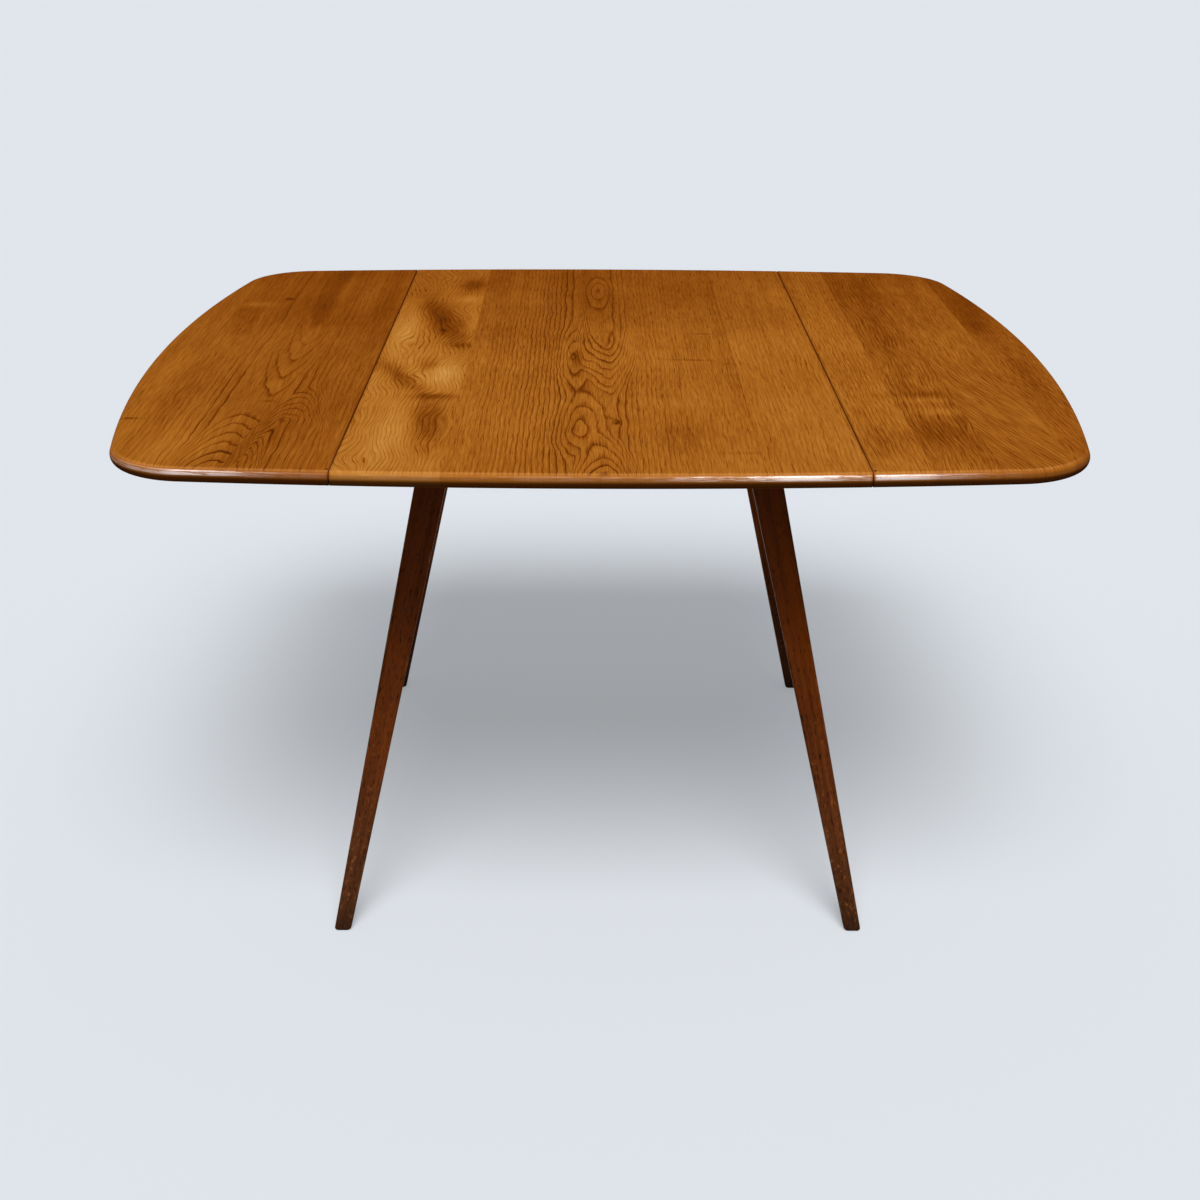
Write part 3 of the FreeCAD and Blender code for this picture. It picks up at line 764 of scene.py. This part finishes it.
top = {
    "sideBow": 0.035,       # rise of the front and back arcs over the whole length
    "endBow": 0.064,
    "cornerRadius": 0.108,
    "edgeRound": 0.009,
    "seamEase": 0.0012,
    "flatHold": 0.003,      # row just inside each rounding that keeps the face flat
    "sideSteps": 48,
    "cornerSteps": 28,
    "endSteps": 64,
    "roundSteps": 13,
    "seamClose": (0.0, 0.4, 0.8, 1.0),    # shares of the depth at which a seam face has its rows
}
centreLow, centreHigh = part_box("centre_top")
leafLow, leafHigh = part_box("right_leaf")
halfLong, halfDeep = leafHigh.x, centreHigh.y
lowZ, highZ = centreLow.z, centreHigh.z


def outlineCircles():
    # side and end arcs from chord and rise, and the corner circle that touches both from inside
    sideRadius = (halfLong ** 2 + top["sideBow"] ** 2) / (2 * top["sideBow"])
    endRadius = (halfDeep ** 2 + top["endBow"] ** 2) / (2 * top["endBow"])
    side = np.array((0.0, halfDeep - sideRadius))
    end = np.array((halfLong - endRadius, 0.0))
    apart = end - side
    span = np.hypot(*apart)
    reachSide = sideRadius - top["cornerRadius"]
    reachEnd = endRadius - top["cornerRadius"]
    along = (reachSide ** 2 - reachEnd ** 2 + span ** 2) / (2 * span)
    off = math.sqrt(reachSide ** 2 - along ** 2)
    unit = apart / span
    corner = side + unit * along + np.array((-unit[1], unit[0])) * off
    if corner[0] < 0 or corner[1] < 0:
        corner = side + unit * along - np.array((-unit[1], unit[0])) * off
    return side, sideRadius, end, endRadius, corner


def edgeSection():
    # inset from the outline and height, from the top face round the edge to the underside
    radius = top["edgeRound"]
    turn = np.radians(np.linspace(90, 0, top["roundSteps"]))
    inset = radius * (1 - np.cos(turn))
    rise = radius * (np.sin(turn) - 1)
    hold = radius + top["flatHold"]
    inset = np.concatenate(([hold], inset, inset[::-1], [hold]))
    height = np.concatenate(([highZ], highZ + rise, (lowZ - rise)[::-1], [lowZ]))
    return inset, height


def seamEase(height):
    # how far a quarter round at the arrises stands back from the seam plane, at a height
    ease = top["seamEase"]
    depth = np.clip(ease - np.minimum(highZ - height, height - lowZ), 0, ease)
    return ease - np.sqrt(np.maximum(ease ** 2 - depth ** 2, 0))


def leafSurface(sign):
    # path: side, corner and end arcs by their outward direction, then mirrored front to back;
    # across: seam face, top face ruled from seam to edge, rounded edge, underside
    side, sideRadius, end, endRadius, corner = outlineCircles()
    seamX = leafLow.x
    seamTurn = math.asin(seamX / sideRadius)
    sideTurn = math.atan2(corner[0] - side[0], corner[1] - side[1])
    endTurn = math.atan2(corner[0] - end[0], corner[1] - end[1])
    arcs = (
        (side, sideRadius, np.concatenate(([seamTurn], np.linspace(
            seamTurn + top["seamEase"] / 2 / sideRadius, sideTurn, top["sideSteps"])))),
        (corner, top["cornerRadius"], np.linspace(sideTurn, endTurn, top["cornerSteps"])[1:]),
        (end, endRadius, np.linspace(endTurn, math.pi / 2, top["endSteps"])[1:]),
    )
    path = np.concatenate([
        centre + radius * np.stack((np.sin(turn), np.cos(turn)), -1) for centre, radius, turn in arcs])
    outward = np.concatenate([np.stack((np.sin(turn), np.cos(turn)), -1) for _, _, turn in arcs])
    flip = np.array((1, -1))
    path = np.concatenate((path, path[-2::-1] * flip))
    outward = np.concatenate((outward, outward[-2::-1] * flip))
    length = np.concatenate(([0], np.cumsum(np.hypot(*np.diff(path, axis=0).T))))
    share = 1 - 2 * length / length[-1]

    inset, height = edgeSection()
    hold = np.ones(len(share)) * top["flatHold"]
    hold[[0, -1]] = 0
    radius = top["edgeRound"]
    inset = np.minimum(inset, radius)[:, None] + (inset > radius)[:, None] * hold[None]
    edge = path[None] - outward[None] * inset[..., None]
    edgeX = np.maximum(edge[..., 0], seamX + seamEase(height)[:, None])
    rim = np.stack((edgeX, edge[..., 1], np.broadcast_to(height[:, None], edgeX.shape)), -1)

    seamY = share[None] * (path[0, 1] - np.minimum(inset, radius))
    seamAt = seamX + seamEase(height)[:, None] + 0 * seamY
    seam = np.stack((seamAt, seamY, height[:, None] + 0 * seamY), -1)[1:-1]
    inside = np.stack((hold, 0 * hold, 0 * hold), -1)[None]
    points = np.concatenate((seam[:1], seam[:1] + inside, rim, seam[-1:] + inside, seam[:0:-1]))
    points[..., 0] *= sign
    return points


def centreSurface():
    # slices along X, each a loop round the section; at the seams the slices close onto the middle line
    side, sideRadius = outlineCircles()[:2]
    inset, height = edgeSection()
    seamX = centreHigh.x
    eased = seamX - top["seamEase"]
    steps = np.linspace(-1, 1, 2 * top["sideSteps"]) * (eased - top["flatHold"])
    closing = np.array(top["seamClose"])
    seamAt = np.full(len(closing), seamX)
    steps = np.concatenate((-seamAt, [-eased], steps, [eased], seamAt))
    shrink = np.concatenate((closing, np.ones(len(steps) - 2 * len(closing)), closing[::-1]))
    limit = seamX - seamEase(height)
    x = np.clip(steps[:, None], -limit[None], limit[None])
    y = (side[1] + np.sqrt((sideRadius - inset[None]) ** 2 - x ** 2)) * shrink[:, None]
    z = height[None] + 0 * x
    back = np.stack((x, y, z), -1)
    front = np.stack((x, -y, z), -1)[:, ::-1]
    return np.concatenate((back, front), 1)


def addTop():
    for sign, word, figure in ((-1, "left", leftFigure), (1, "right", rightFigure)):
        node = word + "_leaf"
        mesh = gridMesh(word + "LeafPanel", leafSurface(sign), True, False)
        material = elmFinish("elm" + word, figure, lowZ, highZ)
        finishPiece(word + "LeafPanel", mesh, node, node, material)
    mesh = gridMesh("centrePanel", centreSurface(), False, True)
    material = elmFinish("elmCentre", centreFigure, lowZ, highZ)
    finishPiece("centrePanel", mesh, "table", "centre_top", material)


addTop()
print("top panels made")


# legs: rounded rectangle carried from foot to top, splayed both ways

leg = {
    "arris": 0.004,
    "footRound": 0.0045,
    "cornerSteps": 7,
    "rows": 40,
    "footHalf": (0.01125, 0.011),
    "topHalf": (0.0235, 0.020),
    "arrisMost": 0.9,             # of the half width, where the foot is drawn in
    "footSteps": 6,
    "capShare": 0.6,              # place of the row on the end faces
    "arrisLean": (0.38, 0.68),    # share of the normal along the lesser side, on a face and on an arris
    "mapDepth": 0.7,              # share of the depth added to the map, for grain on the side faces
}


def legSurface(node):
    # centre and half widths run straight from foot to top; each row is a rectangle with quarter-round
    # corners, drawn in at the foot by a quarter round
    low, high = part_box(node)
    signX = 1 if low.x > 0 else -1
    signY = 1 if low.y > 0 else -1
    outer = np.array((max(abs(low.x), abs(high.x)), max(abs(low.y), abs(high.y))))
    inner = np.array((min(abs(low.x), abs(high.x)), min(abs(low.y), abs(high.y))))
    footHalf = np.array(leg["footHalf"])
    topHalf = np.array(leg["topHalf"])
    footSpot = outer - footHalf
    topSpot = inner + topHalf
    tall = high.z - low.z

    roundTurn = np.radians(np.linspace(0, 90, leg["footSteps"]))
    footZ = leg["footRound"] * (1 - np.cos(roundTurn))
    footIn = leg["footRound"] * (1 - np.sin(roundTurn))
    rise = np.linspace(leg["footRound"], tall, leg["rows"])[1:]
    z = np.concatenate(([0, 0], footZ, rise, [tall, tall]))
    drawIn = np.concatenate(([1, 1], footIn, 0 * rise, [0, 0]))
    cap = leg["capShare"]
    keep = np.concatenate(([0, cap], np.ones(len(footZ) + len(rise)), [cap, 0]))
    drawIn[:2] = leg["footRound"]
    share = (z / tall)[:, None]
    spot = footSpot + (topSpot - footSpot) * share
    half = footHalf + (topHalf - footHalf) * share - drawIn[:, None]

    turn = np.radians(np.linspace(0, 90, leg["cornerSteps"]))
    quarter = np.concatenate([turn + q * math.pi / 2 for q in range(4)])
    signs = np.repeat(np.array(((1, 1), (-1, 1), (-1, -1), (1, -1))), leg["cornerSteps"], 0)
    ease = np.minimum(leg["arris"], half.min(1) * leg["arrisMost"])[:, None]
    x = signs[:, 0] * (half[:, :1] - ease) + ease * np.cos(quarter)
    y = signs[:, 1] * (half[:, 1:] - ease) + ease * np.sin(quarter)
    x = spot[:, :1] + x * keep[:, None]
    y = spot[:, 1:] + y * keep[:, None]
    points = np.stack((x * signX, y * signY, z[:, None] + 0 * x), -1)
    points[..., 2] += low.z
    return points


def addLegs():
    material = legFinish()
    for end in ("front", "back"):
        for side in ("left", "right"):
            node = end + "_" + side + "_leg"
            name = end + side.title() + "Leg"
            points = legSurface(node)
            mesh = gridMesh(name, points, False, True)
            finishPiece(name, mesh, "table", node, material)
            mapLeg(mesh, points[0].mean(0), points[-1].mean(0))


def mapLeg(mesh, foot, head):
    # map in metres: place across the leg against height; arrises are marked where normals lean both ways
    count = len(mesh.vertices)
    spots = np.empty(count * 3)
    mesh.vertices.foreach_get("co", spots)
    spots = spots.reshape(-1, 3)
    normals = np.empty(count * 3)
    mesh.vertices.foreach_get("normal", normals)
    normals = np.abs(normals.reshape(-1, 3))
    both = np.minimum(normals[:, 0], normals[:, 1])
    mark = mesh.attributes.new("arris", "FLOAT", "POINT")
    low, high = leg["arrisLean"]
    mark.data.foreach_set("value", np.clip((both - low) / (high - low), 0, 1))
    corners = np.empty(len(mesh.loops), int)
    mesh.loops.foreach_get("vertex_index", corners)
    share = ((spots[:, 2] - foot[2]) / (head[2] - foot[2]))[:, None]
    local = spots - foot - (head - foot) * share
    around = local[:, 0] + leg["mapDepth"] * local[:, 1] + foot[0] + 2 * foot[1]
    layer = mesh.uv_layers.new(name="along")
    layer.data.foreach_set("uv", np.stack((around, spots[:, 2]), -1)[corners].ravel())


addLegs()
print("legs made")


# CAD pieces that keep their shape

def dressFrame():
    # grain runs along Y in the side rails and their blocks, along X in the rest
    alongBlocks = ("left_fixing_block", "right_fixing_block")
    cross = frameFinish("stainedFrameAcross", True)
    side = frameFinish("stainedFrameAlong", False)
    steel = steelFinish()
    slots = {entry["node"]: entry["material_slot"] for entry in frame["record"]["subparts"]}
    for name, node in frame["nodes"].items():
        if slots[name] == "steel":
            material = steel
        elif slots[name] == "stained_frame":
            material = side if "side_rail" in name or name in alongBlocks else cross
        else:
            continue
        node.data.materials.clear()
        node.data.materials.append(material)


dressFrame()
print("frame dressed")


# floor and light

stageLook = {
    "floor": rgb(227, 232, 238),
    "floorReach": 60.0,                     # metres from the middle to each side
    "floorGlow": 0.36,                      # share of its paleness that the light does not change
    "skyLow": (0.08, 0.08, 0.08, 1.0),      # light from low down
    "skyHigh": (0.22, 0.223, 0.226, 1.0),   # light from overhead
    "skyTurn": (0.25, 0.75),                # upward share of a direction, from low to overhead
    "lamps": [
        # name, strength, degrees off the plumb line, degrees turned from the front, width
        ("frontLeft", 1.45, 35, -10, 32),
        ("frontRight", 1.45, 35, 12, 32),
        ("window", 0.36, 79, -6, 18),
    ],
}


def addFloor():
    reach = stageLook["floorReach"]
    mesh = bpy.data.meshes.new("floor")
    corners = [(-reach, -reach, 0), (reach, -reach, 0), (reach, reach, 0), (-reach, reach, 0)]
    mesh.from_pydata(corners, [], [(0, 1, 2, 3)])
    floor = bpy.data.objects.new("floor", mesh)
    scene.collection.objects.link(floor)
    paper = Finish("paleFloor")
    glow = paper.mix(paper.seen(), (0, 0, 0, 1), stageLook["floor"])
    lit = [part * (1 - stageLook["floorGlow"]) for part in stageLook["floor"][:3]]
    behind = paper.node("ShaderNodeNewGeometry", out="Backfacing")
    mesh.materials.append(paper.close(
        Base_Color=(*lit, 1.0), Roughness=0.9, Specular_IOR_Level=0.0, Alpha=1 - behind,
        Emission_Color=glow, Emission_Strength=stageLook["floorGlow"]))


def addSky():
    # soft light from overhead, less lower down; camera, metal and glass see the floor's paleness instead
    scene.world = bpy.data.worlds.new("studio")
    sky = Finish("studio", scene.world)
    way = sky.node("ShaderNodeTexCoord", out="Generated")
    parts = sky.node("ShaderNodeSeparateXYZ", sockets=[way]).out.node
    z = Socket(sky, parts.outputs["Z"])
    colour = sky.mix(sky.step(z, *stageLook["skyTurn"]), stageLook["skyLow"], stageLook["skyHigh"])
    colour = sky.mix(sky.seen(), colour, stageLook["floor"])
    back = sky.node("ShaderNodeBackground", sockets={"Color": colour, "Strength": 1.0})
    sky.node("ShaderNodeOutputWorld", sockets=[back])


def addLamps():
    for name, strength, tilt, turn, wide in stageLook["lamps"]:
        sun = bpy.data.lights.new(name, "SUN")
        sun.energy = strength
        sun.angle = math.radians(wide)
        lamp = bpy.data.objects.new(name, sun)
        lamp.rotation_euler = (math.radians(tilt), 0, math.radians(turn))
        scene.collection.objects.link(lamp)


addFloor()
addSky()
addLamps()
print("floor and light set")
